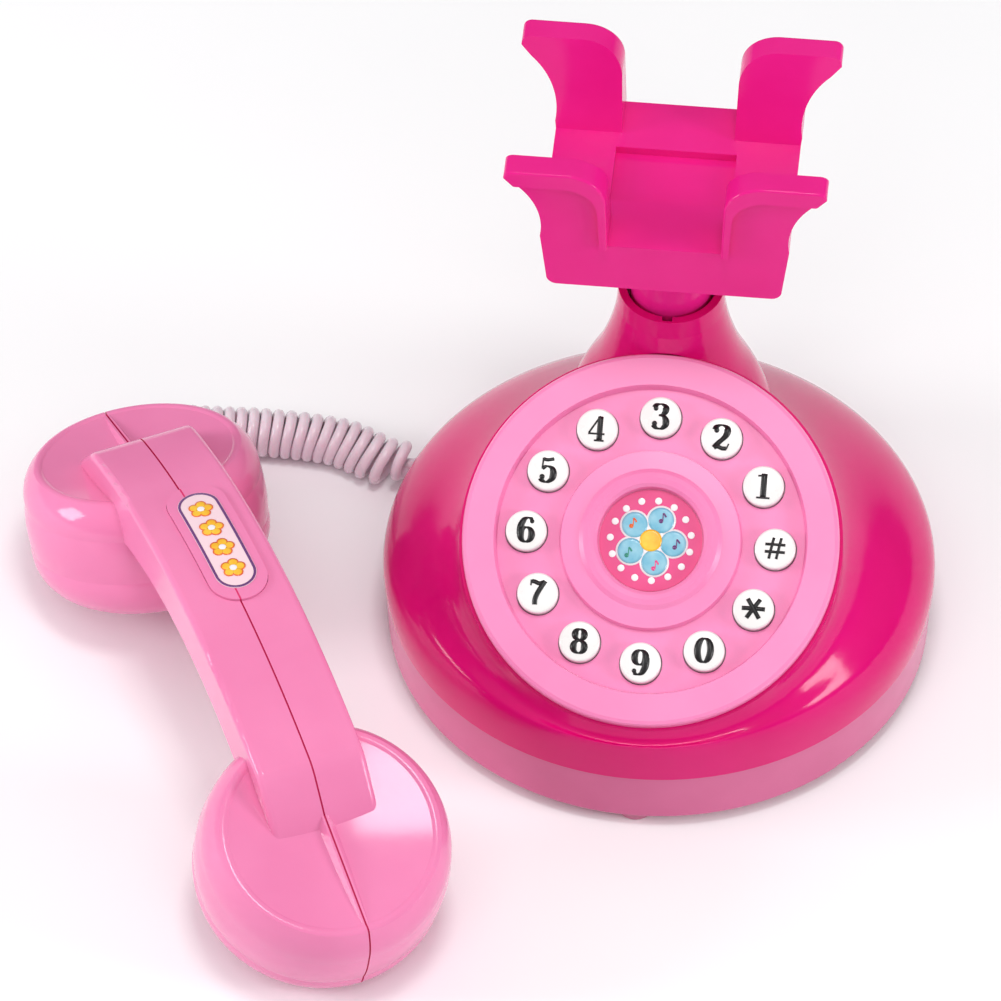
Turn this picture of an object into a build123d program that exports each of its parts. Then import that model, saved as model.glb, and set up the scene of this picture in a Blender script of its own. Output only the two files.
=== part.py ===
"""Toy desk telephone: a round base with twelve push buttons, a sprung cradle and a corded handset.

Frame: millimetres, +Z up, -Y to the front of the base. The origin is on the table, under the
centre of the round base. The handset lies beside the base on its left, ear and mouth ends down.
"""
from build123d import *
from math import cos, pi, radians, sin, sqrt, tan
import os

os.makedirs("parts", exist_ok=True)

# ---- driving dimensions -------------------------------------------------------------------------
WALL = 2.2                 # moulded wall thickness
GAP = 0.3                  # running gap between moulded pieces

SHELL_R = 75.0             # widest radius of the upper shell
PAN_R = 74.4               # radius of the pan just under the shell
PAN_FLOOR_R = 73.7         # radius of the pan at its underside
PAN_BOTTOM = 3.5           # underside of the pan, clear of the table by the feet
SEAM_Z = 20.5              # seam between pan and shell
SHOULDER_Z = 26.0          # where the shell starts to draw in

DIAL_ANGLE = 58.0          # elevation of the dial's outward normal
DIAL_Y = -30.5             # centre of the dial's rim face
DIAL_Z = 67.7
DIAL_R = 50.5              # outside radius of the rim
DIAL_RIM_IN_R = 42.0       # inside radius of the rim's flat
DIAL_FLOOR_R = 41.2        # outside radius of the sunk floor
DIAL_SINK = 3.0            # floor below the rim
DIAL_BOSS_R = 24.5         # raised centre
DIAL_SEAT = 4.0            # rim stands this far proud of the shell

BUTTON_R = 5.5
BUTTON_RING_R = 33.4
BUTTON_TRAVEL = 1.2
BUTTON_NAMES = ["3", "2", "1", "hash", "star", "0", "9", "8", "7", "6", "5", "4"]

NECK_Y = 27.8              # axis of the neck, the stem and the cradle
NECK_TOP = 105.3
NECK_R = 14.3
NECK_BORE_R = 12.1

CRADLE_BOTTOM = 131.0
CRADLE_FLOOR = 146.8       # where the handle rests
CRADLE_TOP = 174.0
CRADLE_HALF_X = 31.3
CRADLE_HALF_Y = 26.7
TROUGH_HALF_LOW = 15.0     # half width of the handle's trough at its floor
TROUGH_HALF_TOP = 21.9     # and at the horn tops
STEM_R = 11.0
STEM_BOTTOM = 79.5
CRADLE_TRAVEL = 3.0

HANDSET_X = -110.0         # middle of the handset, on the table
HANDSET_Y = -55.8
HANDSET_ANGLE = 117.4      # direction of its far end, from +X
CAP_CENTRE_T = 66.5        # cap centre, along the handset from its middle
CAP_CENTRE_Z = 26.5
CAP_TILT = 21.0            # each cap leans out
CAP_R = {-1: 34.2, 1: 33.2}      # mouth cap, near the front, and ear cap
CAP_TOP = {-1: 19.2, 1: 17.6}    # rim of the cap's back, from the cap centre
CAP_FACE = -18.9           # ear or mouth face, from the cap centre
HANDLE_HALF_W = 14.9
HANDLE_TOP = 67.3          # top of the arched handle at its middle
HANDLE_DEPTH = 15.0
HANDLE_ROUND = 1.8
HANDLE_ARCH_R = 172.0      # radius of the arch's top line

WIRE_D = 3.2               # cord
COIL_D = 13.8              # outside of the curly stretch

AA_R = 7.1
AA_LENGTH = 50.0


STANDING = (Align.CENTER, Align.CENTER, Align.MIN)    # a block or cylinder that stands on its place


def save(part, name):
    part.label = name
    export_step(part, f"parts/{name}.step")


# ---- reference planes ---------------------------------------------------------------------------
dial_normal = Vector(0, -cos(radians(DIAL_ANGLE)), sin(radians(DIAL_ANGLE)))
DIAL = Plane(origin=(0, DIAL_Y, DIAL_Z), x_dir=(1, 0, 0), z_dir=dial_normal)
NECK_AXIS = Axis((0, NECK_Y, 0), (0, 0, 1))

handset_along = Vector(cos(radians(HANDSET_ANGLE)), sin(radians(HANDSET_ANGLE)), 0)
handset_side = Vector(handset_along.Y, -handset_along.X, 0)
# local x runs along the handset and local y is up, so a profile is drawn as it is seen from the side
HANDSET_MID = Plane(origin=(HANDSET_X, HANDSET_Y, 0), x_dir=handset_along, z_dir=handset_side)
HANDSET_FLAT = Plane(origin=(HANDSET_X, HANDSET_Y, 0), x_dir=handset_along, z_dir=(0, 0, 1))


def cap_plane(end):
    """Plane through a cap's axis: local x out from the handset's middle, local y out of its back."""
    lean = radians(CAP_TILT)
    centre = HANDSET_MID.from_local_coords(Vector(end * CAP_CENTRE_T, CAP_CENTRE_Z, 0))
    out = handset_along * (end * cos(lean)) + Vector(0, 0, -sin(lean))
    return Plane(origin=centre, x_dir=out, z_dir=handset_side * end)


# ---- upper shell --------------------------------------------------------------------------------
# the neck's outer radius and height, from under its lip down into the dome
NECK_FLARE = [(16.0, 91), (17.9, 84), (20.4, 77), (23.2, 71), (25.7, 65), (27.6, 59), (29.4, 50), (31.4, 38)]


DOME_RING_Y = -13.3        # ring that shapes the dome between its shoulder and the dial
DOME_RING_Z = 44.0
DOME_RING_R = 62.5
DOME_RING_TILT = 9.0
dome_normal = Vector(0, -sin(radians(DOME_RING_TILT)), cos(radians(DOME_RING_TILT)))


def shell_volume(inset, bore):
    """Dome and neck, all surfaces drawn in by inset; bore is the neck's radius at its top."""
    with BuildPart() as volume:
        with BuildSketch(Plane.XY.offset(SEAM_Z)):
            Circle(SHELL_R - 0.3 - inset)
        with BuildSketch(Plane.XY.offset(SHOULDER_Z)):
            Circle(SHELL_R - inset)
        ring_centre = (0, DOME_RING_Y, DOME_RING_Z - inset / 2)
        with BuildSketch(Plane(ring_centre, x_dir=(1, 0, 0), z_dir=dome_normal)):
            Circle(DOME_RING_R - inset)
        with BuildSketch(DIAL.offset(-DIAL_SEAT - inset)):
            Circle(DIAL_R + 0.9 - inset)
        loft()
        with BuildSketch(Plane.YZ):
            with BuildLine():
                lip = Line((NECK_Y, NECK_TOP), (NECK_Y + bore, NECK_TOP))
                throat = Line(lip @ 1, (NECK_Y + bore + 0.3, NECK_TOP - 6))
                flare_points = [(NECK_Y + radius - inset, height) for radius, height in NECK_FLARE]
                flare = Spline(throat @ 1, *flare_points)
                foot = Line(flare @ 1, (NECK_Y, NECK_FLARE[-1][1]))
                Line(foot @ 1, lip @ 0)
            make_face()
        revolve(axis=NECK_AXIS)
    return volume.part


POST_RING_R = 58.0
POST_TURN = 45.0
RIB_REACH = 73.2           # each post is tied to the wall by a rib
RIB_HEIGHT = 4.0

with BuildPart() as upper_shell:
    add(shell_volume(0, NECK_R))
    add(shell_volume(WALL, NECK_BORE_R), mode=Mode.SUBTRACT)
    # opening under the dial for the keypad
    with BuildSketch(DIAL.offset(-DIAL_SEAT - WALL - 1)):
        Circle(46.5)
    extrude(amount=30, mode=Mode.SUBTRACT)
    # seat for the dial's rim, which bites a little into the neck
    with BuildSketch(DIAL.offset(-DIAL_SEAT)):
        Circle(DIAL_R + 0.15)
    extrude(amount=DIAL_SEAT + 0.2, mode=Mode.SUBTRACT)
    # key notch in the neck's lip, at the front
    with Locations((0, NECK_Y - NECK_BORE_R, NECK_TOP)):
        Box(2.7, 3.0, 3.2, mode=Mode.SUBTRACT)
    # four posts that take the pan's screws
    with BuildSketch(Plane.XY.offset(SEAM_Z + 0.5)):
        with PolarLocations(POST_RING_R, 4, start_angle=POST_TURN):
            Circle(4.0)
    extrude(amount=11)
    with BuildSketch(Plane.XY.offset(SEAM_Z + 0.5)):
        with PolarLocations((POST_RING_R + RIB_REACH) / 2, 4, start_angle=POST_TURN):
            Rectangle(RIB_REACH - POST_RING_R, 1.8)
    extrude(amount=RIB_HEIGHT)
    with BuildSketch(Plane.XY.offset(SEAM_Z + 0.5)):
        with PolarLocations(POST_RING_R, 4, start_angle=POST_TURN):
            Circle(1.35)
    extrude(amount=9.5, mode=Mode.SUBTRACT)
save(upper_shell.part, "upper_shell")

# ---- base pan -----------------------------------------------------------------------------------
BATTERY_X = 62.0           # battery opening in the floor
BATTERY_Y = 33.0
BATTERY_CENTRE_Y = 30.0
BOX_TOP = 23.0
SPEAKER_Y = -30.0
SPEAKER_R = 20.0
FEET_RING_R = 67.0
SWITCH_X = 47.0            # power switch slot, at the right of the speaker
SWITCH_Y = -18.0
SWITCH_TRAVEL = 4.0
GLAND_ANGLE = 144.0        # where the cord leaves, at the left and back
GLAND_Z = 9.4
gland_out = Vector(cos(radians(GLAND_ANGLE)), sin(radians(GLAND_ANGLE)), 0)
GLAND = Plane(origin=gland_out * 70 + Vector(0, 0, GLAND_Z), x_dir=(0, 0, 1), z_dir=gland_out)

with BuildPart() as base_pan:
    with BuildSketch(Plane.XZ):
        with BuildLine():
            Polyline(
                (0, PAN_BOTTOM),
                (PAN_FLOOR_R, PAN_BOTTOM),
                (PAN_R, SEAM_Z - 0.2),
                (PAN_R - WALL, SEAM_Z - 0.2),
                (PAN_FLOOR_R - WALL, PAN_BOTTOM + WALL),
                (0, PAN_BOTTOM + WALL),
                close=True,
            )
        make_face()
    revolve(axis=Axis.Z)
    fillet(base_pan.edges().filter_by(GeomType.CIRCLE).group_by(Axis.Z)[0], 1.5)
    # battery box
    with BuildSketch(Plane.XY.offset(PAN_BOTTOM + WALL)):
        with Locations((0, BATTERY_CENTRE_Y)):
            Rectangle(BATTERY_X + 3.2, BATTERY_Y + 3.2)
    extrude(amount=BOX_TOP - PAN_BOTTOM - WALL)
    with BuildSketch(Plane.XY.offset(PAN_BOTTOM)):
        with Locations((0, BATTERY_CENTRE_Y)):
            Rectangle(BATTERY_X, BATTERY_Y)
    extrude(amount=BOX_TOP - PAN_BOTTOM - 1.6, mode=Mode.SUBTRACT)
    # screw post for the battery door, beyond the front wall of the box
    with Locations((0, BATTERY_CENTRE_Y - BATTERY_Y / 2 - 4.6, PAN_BOTTOM)):
        Cylinder(3.4, 12, align=STANDING)
        Cylinder(1.2, 12, align=STANDING, mode=Mode.SUBTRACT)
    # pocket for the door's tongue
    with Locations((0, BATTERY_CENTRE_Y - BATTERY_Y / 2 - 4.6, PAN_BOTTOM)):
        Box(13, 9.3, 1.4, align=STANDING, mode=Mode.SUBTRACT)
    # speaker ring and sound holes
    with BuildSketch(Plane.XY.offset(PAN_BOTTOM + WALL)):
        with Locations((0, SPEAKER_Y)):
            Circle(SPEAKER_R + 2.0)
            Circle(SPEAKER_R + 0.3, mode=Mode.SUBTRACT)
    extrude(amount=4)
    with Locations((0, SPEAKER_Y)):
        with PolarLocations(6.5, 6):
            Hole(1.3)
        with PolarLocations(12.5, 12):
            Hole(1.3)
        Hole(1.3)
    # posts for the shell screws, counterbored from below
    with BuildSketch(Plane.XY.offset(PAN_BOTTOM)):
        with PolarLocations(POST_RING_R, 4, start_angle=POST_TURN):
            Circle(4.6)
    extrude(amount=SEAM_Z + 0.2 - PAN_BOTTOM)
    with BuildSketch(Plane.XY.offset(PAN_BOTTOM)):
        with PolarLocations(POST_RING_R, 4, start_angle=POST_TURN):
            Circle(1.6)
    extrude(amount=SEAM_Z - PAN_BOTTOM + 1, mode=Mode.SUBTRACT)
    with BuildSketch(Plane.XY.offset(PAN_BOTTOM)):
        with PolarLocations(POST_RING_R, 4, start_angle=POST_TURN):
            Circle(3.2)
    extrude(amount=9, mode=Mode.SUBTRACT)
    # recessed slot for the power switch
    with Locations((SWITCH_X, SWITCH_Y, PAN_BOTTOM)):
        Box(9.0, 15.0, 1.0, align=STANDING, mode=Mode.SUBTRACT)
        Box(4.0, 4.6 + SWITCH_TRAVEL, 3, align=STANDING, mode=Mode.SUBTRACT)
    # hole for the cord gland
    with BuildSketch(GLAND):
        Circle(3.0)
    extrude(amount=10, mode=Mode.SUBTRACT)
save(base_pan.part, "base_pan")

with BuildPart() as feet:
    with PolarLocations(FEET_RING_R, 4, start_angle=-90):
        Cone(4.8, 5.4, PAN_BOTTOM, align=STANDING)
    fillet(feet.edges().filter_by(GeomType.CIRCLE).group_by(Axis.Z)[0], 0.8)
save(feet.part, "feet")


def pan_screw(head_r, shank_r, length):
    """A pan-head screw standing head down on the local origin, with a cross recess."""
    with BuildPart() as screw:
        Cylinder(head_r, 1.8, align=STANDING)
        with Locations((0, 0, 1.8)):
            Cylinder(shank_r, length, align=STANDING)
        Box(head_r * 1.2, 0.6, 1.6, mode=Mode.SUBTRACT)
        Box(0.6, head_r * 1.2, 1.6, mode=Mode.SUBTRACT)
    return screw.part


with BuildPart() as shell_screws:
    with Locations((0, 0, PAN_BOTTOM + 7.2)):
        with PolarLocations(POST_RING_R, 4, start_angle=POST_TURN):
            add(pan_screw(2.8, 1.3, 14))
save(shell_screws.part, "shell_screws")

# ---- battery door, cells and contacts -----------------------------------------------------------
DOOR_Z = PAN_BOTTOM
with BuildPart() as battery_door:
    with Locations((0, BATTERY_CENTRE_Y, DOOR_Z)):
        Box(BATTERY_X - 0.6, BATTERY_Y - 0.6, 2.0, align=STANDING)
    with Locations((0, BATTERY_CENTRE_Y - BATTERY_Y / 2 - 4.2, DOOR_Z)):
        Box(12.4, 9.6, 1.1, align=STANDING)
        Hole(1.6)
    # finger ribs
    with Locations((0, BATTERY_CENTRE_Y + BATTERY_Y / 2 - 6, DOOR_Z)):
        with GridLocations(0, 2.4, 1, 3):
            Box(18, 1.0, 0.5, align=STANDING, mode=Mode.SUBTRACT)
save(battery_door.part, "battery_door")

with BuildPart() as battery_door_screw:
    with Locations((0, BATTERY_CENTRE_Y - BATTERY_Y / 2 - 4.6, PAN_BOTTOM - 1.8)):
        add(pan_screw(2.5, 1.2, 9))
save(battery_door_screw.part, "battery_door_screw")

CELL_Z = DOOR_Z + 2.0 + 0.2 + AA_R
CELL_OFFSET_Y = 7.6
with BuildPart() as batteries:
    for side in (-1, 1):
        cell_end = (-side * (AA_LENGTH / 2 + 1.5), BATTERY_CENTRE_Y + side * CELL_OFFSET_Y, CELL_Z)
        with BuildSketch(Plane(cell_end, x_dir=(0, 1, 0), z_dir=(side, 0, 0))):
            Circle(AA_R)
        extrude(amount=AA_LENGTH - 1.5)
        nipple_root = (side * (AA_LENGTH / 2 - 3.0), BATTERY_CENTRE_Y + side * CELL_OFFSET_Y, CELL_Z)
        with BuildSketch(Plane(nipple_root, x_dir=(0, 1, 0), z_dir=(side, 0, 0))):
            Circle(2.7)
        extrude(amount=1.5)
save(batteries.part, "batteries")

# ---- dial plate ---------------------------------------------------------------------------------
def dial_profile():
    """Half section of the dial plate, local x out from its axis and local y out of its face."""
    with BuildLine() as outline:
        Polyline(
            (0, -2.6),
            (14.0, -2.6),
            (14.3, -0.4),
            (15.2, 0.5),
            (16.6, 0.9),
            (18.0, 0.5),
            (19.2, -0.5),
            (DIAL_BOSS_R - 0.5, -0.7),
            (DIAL_BOSS_R, -DIAL_SINK),
            (DIAL_FLOOR_R, -DIAL_SINK),
            (DIAL_RIM_IN_R, 0),
            (DIAL_R - 1.2, 0),
            (DIAL_R - 0.35, -0.35),
            (DIAL_R, -1.2),
            (DIAL_R, -DIAL_SEAT),
            (46.2, -DIAL_SEAT),
            (46.2, -DIAL_SINK - 2.2),
            (0, -DIAL_SINK - 2.2),
            close=True,
        )
    return outline.line


DIAL_SECTION = Plane(origin=DIAL.origin, x_dir=(1, 0, 0), z_dir=DIAL.x_dir.cross(DIAL.z_dir))
DIAL_AXIS = Axis(DIAL.origin, DIAL.z_dir)
BUTTON_TURN = 30.0         # buttons sit every 30 degrees, the first at twelve o'clock
BOARD_POST_R = 21.5

with BuildPart() as dial_plate:
    with BuildSketch(DIAL_SECTION):
        add(dial_profile())
        make_face()
    revolve(axis=DIAL_AXIS)
    with BuildSketch(DIAL.offset(-DIAL_SINK - 4)):
        with PolarLocations(BUTTON_RING_R, 12, start_angle=90):
            Circle(BUTTON_R + GAP)
    extrude(amount=5, mode=Mode.SUBTRACT)
    # three posts for the key board
    with BuildSketch(DIAL.offset(-9.8)):
        with PolarLocations(BOARD_POST_R, 3, start_angle=30):
            Circle(2.4)
    extrude(amount=5)
    with BuildSketch(DIAL.offset(-9.8)):
        with PolarLocations(BOARD_POST_R, 3, start_angle=30):
            Circle(0.9)
    extrude(amount=5, mode=Mode.SUBTRACT)
save(dial_plate.part, "dial_plate")

with BuildPart() as dial_sticker:
    with BuildSketch(DIAL.offset(-2.6)):
        Circle(13.8)
    extrude(amount=0.25)
save(dial_sticker.part, "dial_sticker")

# ---- push buttons -------------------------------------------------------------------------------
BUTTON_FOOT = -7.0         # underside of a button's flange, from the rim face
CROWN_R = BUTTON_R - 0.8   # radius of the crowned top
CROWN_RISE = 0.35
crown_sphere = (CROWN_R ** 2 + CROWN_RISE ** 2) / (2 * CROWN_RISE)
crown_mid = crown_sphere - sqrt(crown_sphere ** 2 - (CROWN_R / 2) ** 2)
for index, name in enumerate(BUTTON_NAMES):
    turn = radians(90 - index * BUTTON_TURN)
    centre = DIAL.from_local_coords(Vector(BUTTON_RING_R * cos(turn), BUTTON_RING_R * sin(turn), 0))
    seat = Plane(origin=centre, x_dir=DIAL.x_dir, z_dir=DIAL.z_dir)
    with BuildPart() as button:
        with BuildSketch(Plane(origin=centre, x_dir=DIAL.x_dir, z_dir=DIAL_SECTION.z_dir)):
            with BuildLine():
                stem = Line((0, BUTTON_FOOT), (6.7, BUTTON_FOOT))
                edge = Line(stem @ 1, (6.7, BUTTON_FOOT + 1.3))
                step = Line(edge @ 1, (BUTTON_R, BUTTON_FOOT + 1.3))
                wall = Line(step @ 1, (BUTTON_R, -1.1))
                round_edge = ThreePointArc(wall @ 1, (BUTTON_R - 0.25, -0.55), (CROWN_R, -CROWN_RISE))
                dome = ThreePointArc(round_edge @ 1, (CROWN_R / 2, -crown_mid), (0, 0))
                Line(dome @ 1, stem @ 0)
            make_face()
        revolve(axis=Axis(centre, DIAL.z_dir))
    save(button.part, f"button_{name}")

# ---- keypad under the dial ----------------------------------------------------------------------
MEMBRANE_TOP = -8.9
with BuildPart() as keypad_membrane:
    with BuildSketch(DIAL.offset(MEMBRANE_TOP - 0.8)):
        Circle(42.5)
        Circle(25.0, mode=Mode.SUBTRACT)
    extrude(amount=0.8)
    with BuildSketch(DIAL.offset(MEMBRANE_TOP)):
        with PolarLocations(BUTTON_RING_R, 12, start_angle=90):
            Circle(4.0)
    extrude(amount=0.5, taper=20)
save(keypad_membrane.part, "keypad_membrane")

BOARD_TOP = MEMBRANE_TOP - 0.9
with BuildPart() as key_board:
    with BuildSketch(DIAL.offset(BOARD_TOP - 1.4)):
        Circle(43.5)
        Circle(17.5, mode=Mode.SUBTRACT)
        with PolarLocations(BOARD_POST_R, 3, start_angle=30):
            Circle(1.2, mode=Mode.SUBTRACT)
    extrude(amount=1.4)
save(key_board.part, "key_board")

with BuildPart() as key_board_screws:
    for index in range(3):
        turn = radians(30 + index * 120)
        screw_tip = Vector(BOARD_POST_R * cos(turn), BOARD_POST_R * sin(turn), BOARD_TOP - 3.2)
        spot = DIAL.from_local_coords(screw_tip)
        with Locations(Plane(origin=spot, x_dir=DIAL.x_dir, z_dir=DIAL.z_dir)):
            add(pan_screw(2.0, 0.9, 4.5))
save(key_board_screws.part, "key_board_screws")

# ---- cradle -------------------------------------------------------------------------------------
NOTCH_HALF = 15.0          # half width of the notch between two horns
HORN_TIP_X = 42.6
LIP_BOTTOM = CRADLE_TOP - 5.3
LIP_PROUD = 1.8            # each horn has a proud lip along its notch and its top
NOTCH_TOP_X = 15.8         # where the notch's side would meet the horn's top, before it is rounded
HORN_BEND_R = 10.5
LIP_FOOT_X = 17.0          # the lip's lower side, rounded in the same way
LIP_TOP_X = 18.2
LIP_BEND_R = 8.5


def cradle_outline():
    """Outline of the front or back wall, drawn with x across and y as height."""
    with BuildLine() as outline:
        for side in (-1, 1):
            top = Polyline(
                (0, CRADLE_FLOOR),
                (side * NOTCH_HALF, CRADLE_FLOOR),
                (side * NOTCH_TOP_X, CRADLE_TOP),
                (side * (HORN_TIP_X - 2.5), CRADLE_TOP),
            )
            tip = ThreePointArc(
                top @ 1, (side * (HORN_TIP_X - 0.6), CRADLE_TOP - 0.8), (side * HORN_TIP_X, CRADLE_TOP - 2.7)
            )
            slope = Line(tip @ 1, (side * 39.8, 168.0))
            under = ThreePointArc(slope @ 1, (side * 35.1, 162.0), (side * 33.0, 149.0))
            wall = Line(under @ 1, (side * CRADLE_HALF_X, CRADLE_BOTTOM + 3))
            corner = ThreePointArc(
                wall @ 1,
                (side * (CRADLE_HALF_X - 0.8), CRADLE_BOTTOM + 0.9),
                (side * (CRADLE_HALF_X - 3), CRADLE_BOTTOM),
            )
            Line(corner @ 1, (0, CRADLE_BOTTOM))
    return outline.line


def below_lips():
    """Everything on a wall's outer face that lies below the horns' lips."""
    with BuildLine() as outline:
        for side in (-1, 1):
            Polyline(
                (0, CRADLE_FLOOR),
                (side * LIP_FOOT_X, CRADLE_FLOOR),
                (side * LIP_TOP_X, LIP_BOTTOM),
                (side * 50, LIP_BOTTOM),
                (side * 50, CRADLE_BOTTOM - 10),
                (0, CRADLE_BOTTOM - 10),
            )
    return outline.line


CRADLE_DEPTH = 2 * (CRADLE_HALF_Y + LIP_PROUD)
with BuildPart() as cradle:
    with BuildSketch(
        Plane(origin=(0, NECK_Y + CRADLE_DEPTH / 2, 0), x_dir=(1, 0, 0), z_dir=(0, -1, 0))
    ) as wall:
        add(cradle_outline())
        make_face()
        fillet(wall.vertices().filter_by(lambda v: abs(abs(v.X) - NOTCH_TOP_X) < 0.05), HORN_BEND_R)
    extrude(amount=CRADLE_DEPTH)
    outer_faces = cradle.faces().filter_by(Axis.Y).sort_by(Axis.Y)
    fillet(outer_faces[0].edges() + outer_faces[-1].edges(), 0.7)
    # flared trough for the handle
    with BuildSketch(Plane.YZ.offset(-60)):
        with BuildLine():
            Polyline(
                (NECK_Y - TROUGH_HALF_LOW, CRADLE_FLOOR),
                (NECK_Y + TROUGH_HALF_LOW, CRADLE_FLOOR),
                (NECK_Y + TROUGH_HALF_TOP, CRADLE_TOP + 0.1),
                (NECK_Y - TROUGH_HALF_TOP, CRADLE_TOP + 0.1),
                close=True,
            )
        make_face()
    extrude(amount=120, mode=Mode.SUBTRACT)
    for face_side in (-1, 1):
        wall_plane = Plane(
            origin=(0, NECK_Y + face_side * CRADLE_HALF_Y, 0), x_dir=(1, 0, 0), z_dir=(0, -1, 0)
        )
        with BuildSketch(wall_plane) as lower_wall:
            add(below_lips())
            make_face()
            fillet(lower_wall.vertices().filter_by(lambda v: abs(abs(v.X) - LIP_TOP_X) < 0.05), LIP_BEND_R)
        extrude(amount=-face_side * 5, mode=Mode.SUBTRACT)
    # shallow recess in the middle of the floor
    with Locations((0, NECK_Y, CRADLE_FLOOR)):
        Box(32.2, 19.6, 5.0, mode=Mode.SUBTRACT)
    # hollow underside with a screw boss
    with BuildSketch(Plane.XY.offset(CRADLE_BOTTOM)):
        with Locations((0, NECK_Y)):
            RectangleRounded(2 * CRADLE_HALF_X - 8.6, 2 * CRADLE_HALF_Y - 6.0, 4)
    extrude(amount=11, mode=Mode.SUBTRACT)
    with Locations((0, NECK_Y, CRADLE_BOTTOM - 8)):
        Cylinder(4.0, 20, align=STANDING)
        Cylinder(1.2, 14, align=STANDING, mode=Mode.SUBTRACT)
save(cradle.part, "cradle")

STEM_LENGTH = CRADLE_BOTTOM + 11 - STEM_BOTTOM    # up into the cradle's hollow
with BuildPart() as cradle_stem:
    with Locations((0, NECK_Y, STEM_BOTTOM)):
        Cylinder(STEM_R, STEM_LENGTH, align=STANDING)
        Cylinder(STEM_R - WALL, STEM_LENGTH, align=STANDING, mode=Mode.SUBTRACT)
        Cylinder(STEM_R, WALL, align=STANDING)
    # web that the screw clamps to the cradle's boss
    with Locations((0, NECK_Y, CRADLE_BOTTOM - 10.2)):
        Cylinder(STEM_R - 1, 2.2, align=STANDING)
        Hole(1.5)
save(cradle_stem.part, "cradle_stem")

with BuildPart() as cradle_screw:
    with Locations((0, NECK_Y, CRADLE_BOTTOM - 12.0)):
        add(pan_screw(2.8, 1.2, 14))
save(cradle_screw.part, "cradle_screw")

# ---- stem bush, clip, spring and hook switch ----------------------------------------------------
BUSH_TOP = 100.0
BUSH_BOTTOM = 90.0
with BuildPart() as stem_bush:
    with Locations((0, NECK_Y, BUSH_BOTTOM)):
        Cone(13.2, NECK_BORE_R + 0.1, BUSH_TOP - BUSH_BOTTOM, align=STANDING)
        Cylinder(STEM_R + GAP, BUSH_TOP - BUSH_BOTTOM, align=STANDING,
                 mode=Mode.SUBTRACT)
save(stem_bush.part, "stem_bush")

CLIP_TOP = BUSH_BOTTOM - 0.3
with BuildPart() as stem_clip:
    with Locations((0, NECK_Y, CLIP_TOP - 1.2)):
        Cylinder(13.4, 1.2, align=STANDING)
        Cylinder(STEM_R, 1.2, align=STANDING, mode=Mode.SUBTRACT)
save(stem_clip.part, "stem_clip")

SEAT_Z = 66.0
with BuildPart() as spring_seat:
    with Locations((0, NECK_Y, SEAT_Z - 2.0)):
        Cylinder(15.0, 2.0, align=STANDING)
        Box(45.0, 9.0, 2.0, align=STANDING)
        Cylinder(4.0, 8.0, align=STANDING)
        with PolarLocations(13.0, 2, start_angle=0):
            Cylinder(2.6, 4.0, align=STANDING)
save(spring_seat.part, "spring_seat")

SPRING_R = 6.4
SPRING_WIRE_R = 0.5
SPRING_TURNS = 6
with BuildPart() as cradle_spring:
    with BuildLine():
        coil = Helix(
            pitch=(STEM_BOTTOM - SEAT_Z - 1.6) / SPRING_TURNS,
            height=STEM_BOTTOM - SEAT_Z - 1.6,
            radius=SPRING_R,
            center=(0, NECK_Y, SEAT_Z + 0.6),
        )
    with BuildSketch(Plane(origin=coil @ 0, z_dir=coil % 0)):
        Circle(SPRING_WIRE_R)
    sweep()
save(cradle_spring.part, "cradle_spring")

# ---- speaker, main board and power switch -------------------------------------------------------
SPEAKER_Z = PAN_BOTTOM + WALL
with BuildPart() as speaker_frame:
    with BuildSketch(Plane.XZ.offset(-SPEAKER_Y)):
        with BuildLine():
            Polyline(
                (17.2, SPEAKER_Z),
                (SPEAKER_R, SPEAKER_Z),
                (SPEAKER_R, SPEAKER_Z + 1.6),
                (16.0, SPEAKER_Z + 6.0),
                (11.0, SPEAKER_Z + 7.0),
                (11.0, SPEAKER_Z + 6.0),
                (15.0, SPEAKER_Z + 5.0),
                (17.2, SPEAKER_Z + 1.2),
                close=True,
            )
        make_face()
    revolve(axis=Axis((0, SPEAKER_Y, 0), (0, 0, 1)))
save(speaker_frame.part, "speaker_frame")

with BuildPart() as speaker_cone:
    with BuildSketch(Plane.XZ.offset(-SPEAKER_Y)):
        with BuildLine():
            Polyline(
                (0, SPEAKER_Z + 3.0),
                (6.0, SPEAKER_Z + 4.4),
                (16.9, SPEAKER_Z + 0.4),
                (16.9, SPEAKER_Z + 0.8),
                (6.0, SPEAKER_Z + 4.9),
                (0, SPEAKER_Z + 3.5),
                close=True,
            )
        make_face()
    revolve(axis=Axis((0, SPEAKER_Y, 0), (0, 0, 1)))
save(speaker_cone.part, "speaker_cone")

with BuildPart() as speaker_magnet:
    with Locations((0, SPEAKER_Y, SPEAKER_Z + 7.0)):
        Cylinder(11.5, 5.0, align=STANDING)
save(speaker_magnet.part, "speaker_magnet")

BOARD_X = -46.0
BOARD_Y = -13.0
BOARD_Z = PAN_BOTTOM + WALL + 5.0
with BuildPart() as main_board:
    with Locations((BOARD_X, BOARD_Y, BOARD_Z)):
        Box(24, 30, 1.4, align=STANDING)
        with GridLocations(18, 24, 2, 2):
            Cylinder(2.4, 5.0, align=(Align.CENTER, Align.CENTER, Align.MAX))
save(main_board.part, "main_board")

with BuildPart() as sound_chip:
    with Locations((BOARD_X, BOARD_Y, BOARD_Z + 1.4)):
        Cylinder(5.0, 1.8, align=STANDING)
    fillet(sound_chip.edges().filter_by(GeomType.CIRCLE).group_by(Axis.Z)[-1], 1.5)
save(sound_chip.part, "sound_chip")

# hook switch on the spring seat, its lever just under the stem
with BuildPart() as hook_switch:
    with Locations((0, NECK_Y + 10.6, SEAT_Z)):
        Box(8, 5.4, 7.0, align=STANDING)
    with Locations((0, NECK_Y + 10.0, SEAT_Z + 7.0)):
        Box(3, 2, 3.0, align=STANDING)
save(hook_switch.part, "hook_switch")

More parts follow.
